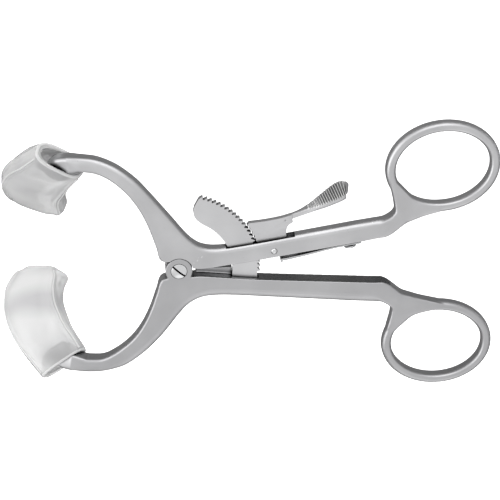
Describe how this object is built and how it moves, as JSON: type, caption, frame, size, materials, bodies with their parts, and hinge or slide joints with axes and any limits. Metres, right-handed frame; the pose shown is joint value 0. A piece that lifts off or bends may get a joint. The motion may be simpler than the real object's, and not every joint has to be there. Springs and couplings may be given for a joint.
{
  "type": "cheek retractor",
  "caption": "Hinged cheek retractor: crossed steel arms with finger rings, a toothed rack with a sprung release lever, and clear curved pads that spread the cheeks.",
  "frame": {"origin": "centre of the pivot screw's flat rear end, on the axis the two arms turn about", "axes": "+X from the pivot towards the finger rings, +Y towards the upper arm with the release lever, +Z out of the front face where the pivot screw's slotted head is"},
  "size_m": [0.1605, 0.0933, 0.0353],
  "materials": {
    "satin_steel": "fine brushed satin stainless steel",
    "bright_steel": "turned, lightly polished stainless steel",
    "spring_steel": "drawn spring steel strip, smooth",
    "clear_plastic": "clear, slightly milky glossy plastic"
  },
  "bodies": {
    "upper": {"upper_arm": "satin_steel", "pivot_screw": "bright_steel", "pawl_pin": "bright_steel", "spring_screw": "bright_steel", "upper_pad": "clear_plastic"},
    "lower": {"lower_arm": "satin_steel", "ratchet_rack": "satin_steel", "lower_pad": "clear_plastic"},
    "pawl": {"release_pawl": "satin_steel"},
    "leaf": {"leaf_spring": "spring_steel"}
  },
  "joints": [
    {"name": "arm_pivot", "type": "hinge", "parent": "upper", "child": "lower", "pos_m": [0, 0, 0.0027], "axis": [0, 0, 1], "range_deg": [-20.7, 6.9]},
    {"name": "release_lever", "type": "hinge", "parent": "upper", "child": "pawl", "pos_m": [0.0303, 0.0059, 0.0027], "axis": [0, 0, 1], "range_deg": [-12, 2], "stiffness_Nm_per_rad": 0.02, "springref_deg": 20.05},
    {"name": "leaf_flex", "type": "hinge", "parent": "upper", "child": "leaf", "pos_m": [0.0547, 0.00682, 0.0027], "axis": [0, 0, 1], "range_deg": [-0.4, 1.4]}
  ],
  "couplings": [
    {"joint": "leaf_flex", "follows": "release_lever", "ratio": -0.105}
  ]
}
